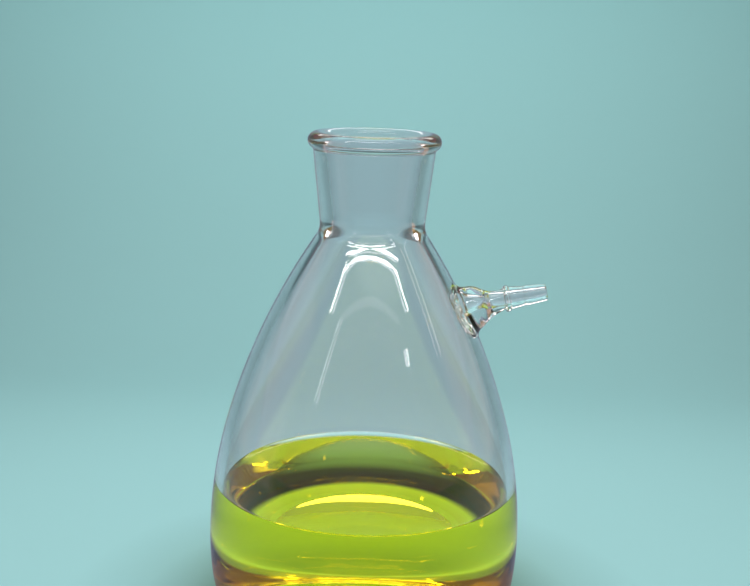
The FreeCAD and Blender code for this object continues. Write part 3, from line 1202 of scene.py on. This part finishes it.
@dataclass(frozen=True)
class SoftBox:
    """A rectangular lamp that looks at a point.

    Its brightness is what a mirror of it shows, where 1 is white. Its power is that times its
    area and pi.
    """

    name: str
    place: Place
    width: float
    height: float
    brightness: float
    colour: Colour = WHITE
    target: Place = (0.0, 0.0, 0.15)
    lean: float = 0.0
    mirrored: bool = True

    def hang(self) -> bpy.types.Object:
        """Makes the lamp and turns it by its lean about its own line of sight.

        Returns:
            The lamp.
        """
        data = bpy.data.lights.new(self.name, "AREA")
        data.shape = "RECTANGLE"
        data.size = self.width
        data.size_y = self.height
        data.energy = self.brightness * math.pi * self.width * self.height
        data.color = self.colour
        lamp = bpy.data.objects.new(self.name, data)
        bpy.context.collection.objects.link(lamp)
        direction = Vector(self.target) - Vector(self.place)
        lamp.matrix_world = (Matrix.Translation(self.place)
                             @ direction.to_track_quat("-Z", "Y").to_matrix().to_4x4()
                             @ Matrix.Rotation(math.radians(self.lean), 4, "Z"))
        lamp.visible_camera = False
        lamp.visible_glossy = self.mirrored
        lamp.visible_transmission = self.mirrored
        return lamp


@dataclass(frozen=True)
class BentTube:
    """A glowing tube that hangs in the upright plane over the camera and follows a line there."""

    name: str
    line: tuple[Point, ...]
    width: float
    brightness: float
    plane: float = -0.6
    rows: int = 40

    def hang(self) -> bpy.types.Object:
        """Makes the tube as a flat ribbon: the line plus and minus half the width across it.

        The line passes through its points (x, z), with straight shares of its length between.

        Returns:
            The tube.
        """
        marks = np.array(self.line)
        lengths = np.concatenate([[0], np.cumsum(np.hypot(*np.diff(marks, axis=0).T))])
        places = np.linspace(0, lengths[-1], self.rows)
        middle = np.stack([np.interp(places, lengths, marks[:, 0]),
                           np.interp(places, lengths, marks[:, 1])], axis=1)
        along = np.gradient(middle, axis=0)
        along /= np.linalg.norm(along, axis=1)[:, None]
        across = np.stack([-along[:, 1], along[:, 0]], axis=1) * self.width / 2
        edges = np.stack([middle - across, middle + across], axis=1)
        points = np.stack([edges[..., 0], np.full(edges.shape[:2], self.plane), edges[..., 1]],
                          axis=-1)
        quads = grid_faces(np.arange(self.rows * 2).reshape(-1, 2), closed=False)
        tube = make_piece(self.name, points, quads, unit=1.0)
        tube.visible_camera = False
        material, nodes, output = new_material(self.name)
        glow = nodes.node("ShaderNodeEmission", {"Strength": self.brightness})
        nodes.fill(output.inputs["Surface"], glow.outputs[0])
        tube.data.materials.append(material)
        return tube


@dataclass(frozen=True)
class RoomLight:
    """Soft light in the room behind glass: where each of its edges has eased from 0 to 1.

    An edge is a direction and a ramp over the dot product of the line of sight with it.
    """

    colour: Colour
    edges: tuple[tuple[Place, Ramp], ...]

    def over(self, nodes: NodeLine, room: Fill) -> Socket:
        """Adds the light to a room.

        Args:
            nodes: The world's tree.
            room: Colour of the room without it.

        Returns:
            The output that has the room's colour with it.
        """
        sight = nodes.node("ShaderNodeTexCoord").outputs["Generated"]
        steps = [nodes.ramp(nodes.vector("DOT_PRODUCT", sight, along, result="Value"), ramp)
                 for along, ramp in self.edges]
        return nodes.mix(nodes.math("MULTIPLY", *steps), room, self.colour)


@dataclass
class Studio:
    """Camera, lamps and the room's own soft light, in metres."""

    camera_place: Place = (0.0019, -0.498, 0.2519)
    camera_pitch: float = 12.26
    camera_roll: float = 1.67
    focal_pixels: float = 1200.0
    sensor_width: float = 36.0
    nearest_view: float = 0.01
    room_colour: Colour = (0.2, 0.2, 0.2)
    mirrored_room: Colour = (0.462, 0.1512, 0.294)
    room_through_glass: Colour = (0.18, 0.14, 0.04)
    back_light: float = 1.4
    back_edges: tuple[tuple[Place, Ramp], ...] = (
        ((0.0, 0.0, 1.0), Ramp(0.68, 0.72)), ((0.0, 1.0, 0.0), Ramp(0.1, 0.2)))
    front_light: RoomLight = RoomLight((1.3, 1.6, 1.2), (
        ((0.1, 0.0, 1.0), Ramp(0.69, 0.77)), ((0.0, -1.0, 0.0), Ramp(0.15, 0.3))))
    lamps: tuple[SoftBox, ...] = (
        SoftBox("left_stand", (-0.57, -0.6, 0.5565), 0.012, 0.35, 8.0, lean=-20.0),
        SoftBox("right_spot", (0.55, -0.6, 0.5695), 0.03, 0.06, 15.0),
        SoftBox("dim_bar", (0.0, -0.6, 0.715), 1.0, 0.035, 0.8),
        SoftBox("top_box", (0.0, 0.1, 1.48), 0.9, 0.6, 1.4, target=(0.0, 0.05, 0.0),
                mirrored=False),
        SoftBox("zenith_box", (0.0, -0.1, 1.2), 0.7, 0.3, 4.0, target=(0.0, -0.1, 0.2)),
        SoftBox("back_strip", (0.05, 0.85, 0.765), 1.15, 0.12, 5.0, target=(0.0, 0.0, 0.0)),
        SoftBox("right_strip", (0.9, -0.15, 0.73), 0.03, 0.5, 4.0),
        SoftBox("left_card", (-0.8, 0.1, 0.28), 0.8, 0.6, 0.3, colour=(1.0, 0.72, 0.68)),
        SoftBox("right_card", (0.8, 0.25, 0.28), 0.8, 0.6, 0.35, colour=(1.0, 0.62, 0.38)),
    )
    tubes: tuple[BentTube, ...] = (
        BentTube("low_tube", ((-0.74, 1.12), (-0.62, 1.105), (-0.51, 1.08), (-0.4, 1.05),
                              (-0.32, 1.02), (-0.22, 0.995), (-0.13, 0.98), (0.04, 0.97),
                              (0.19, 0.98), (0.35, 1.01), (0.5, 1.05), (0.6, 1.085),
                              (0.72, 1.09)), 0.03, 36.0),
        BentTube("high_tube", ((-1.02, 1.44), (-0.75, 1.28), (-0.51, 1.15), (-0.34, 1.09),
                               (-0.18, 1.06), (0.09, 1.045), (0.25, 1.065), (0.39, 1.11),
                               (0.58, 1.18), (0.75, 1.26), (1.0, 1.38)), 0.028, 36.0),
        BentTube("left_leg", ((-0.81, 1.22), (-0.8, 1.07), (-0.82, 0.98), (-0.85, 0.88)),
                 0.085, 30.0),
        BentTube("right_leg", ((0.7, 1.12), (0.74, 1.04), (0.78, 0.98), (0.84, 0.9)),
                 0.08, 30.0),
    )

    def place_camera(self) -> None:
        """Puts the camera at the photograph's angle and distance."""
        data = bpy.data.cameras.new("photo_camera")
        data.sensor_width = self.sensor_width
        data.lens = self.focal_pixels * self.sensor_width / PICTURE_WIDTH
        data.clip_start = self.nearest_view
        camera = bpy.data.objects.new("photo_camera", data)
        bpy.context.collection.objects.link(camera)
        camera.matrix_world = (Matrix.Translation(self.camera_place)
                               @ Matrix.Rotation(math.radians(90 - self.camera_pitch), 4, "X")
                               @ Matrix.Rotation(math.radians(self.camera_roll), 4, "Z"))
        bpy.context.scene.camera = camera

    def light(self, backdrop: Colour) -> None:
        """Hangs the lamps and sets the room's light.

        What the camera sees straight has the backdrop's colour. Mirrors see a dim warm room,
        and matte surfaces get an even fill. Glass shows the room dimmer still, with soft light
        over the camera and over the backdrop.

        Args:
            backdrop: Colour of the backdrop.
        """
        for lamp in (*self.lamps, *self.tubes):
            lamp.hang()
        world = bpy.data.worlds.new("studio_room")
        bpy.context.scene.world = world
        world.use_nodes = True
        world.node_tree.nodes.clear()
        nodes = NodeLine(world.node_tree)
        back_light = RoomLight(tuple(self.back_light * share for share in backdrop),
                               self.back_edges)
        behind_glass = self.front_light.over(
            nodes, back_light.over(nodes, self.room_through_glass))
        shown, *seen = (nodes.node("ShaderNodeBackground", {"Color": colour}).outputs[0]
                        for colour in (self.room_colour, self.mirrored_room, behind_glass,
                                       backdrop))
        for ray, shade in zip((Ray.MIRRORED, Ray.THROUGH_GLASS, Ray.CAMERA), seen):
            shown = nodes.choose(ray, shown, shade)
        nodes.node("ShaderNodeOutputWorld", {"Surface": shown})


def main() -> None:
    """Builds the studio, the glass and the filling in order."""
    logging.basicConfig(level=logging.INFO, format="%(name)s: %(message)s", stream=sys.stdout)
    scene = bpy.context.scene
    scene.view_settings.view_transform = "Standard"
    scene.cycles.max_bounces = LIGHT_BOUNCES
    scene.cycles.glossy_bounces = LIGHT_BOUNCES
    scene.cycles.transmission_bounces = LIGHT_BOUNCES
    scene.cycles.transparent_max_bounces = LIGHT_BOUNCES
    scene.cycles.caustics_reflective = False
    scene.cycles.caustics_refractive = False
    studio = Studio()
    studio.place_camera()
    sweep = Sweep()
    sweep.dress(sweep.build())
    studio.light(sweep.colour)

    body = Body()
    waves = waviness_group()
    filling = Filling(body)
    flask = Flask(body, HoseArm(body), filling.contact())
    glass = flask.build()
    flask.dress(glass, waves)
    solution = filling.build()
    filling.dress(solution)
    for piece in (glass, solution):
        log.info("%s: %d points, %d faces", piece.name, len(piece.data.vertices),
                 len(piece.data.polygons))


if __name__ == "__main__":
    main()
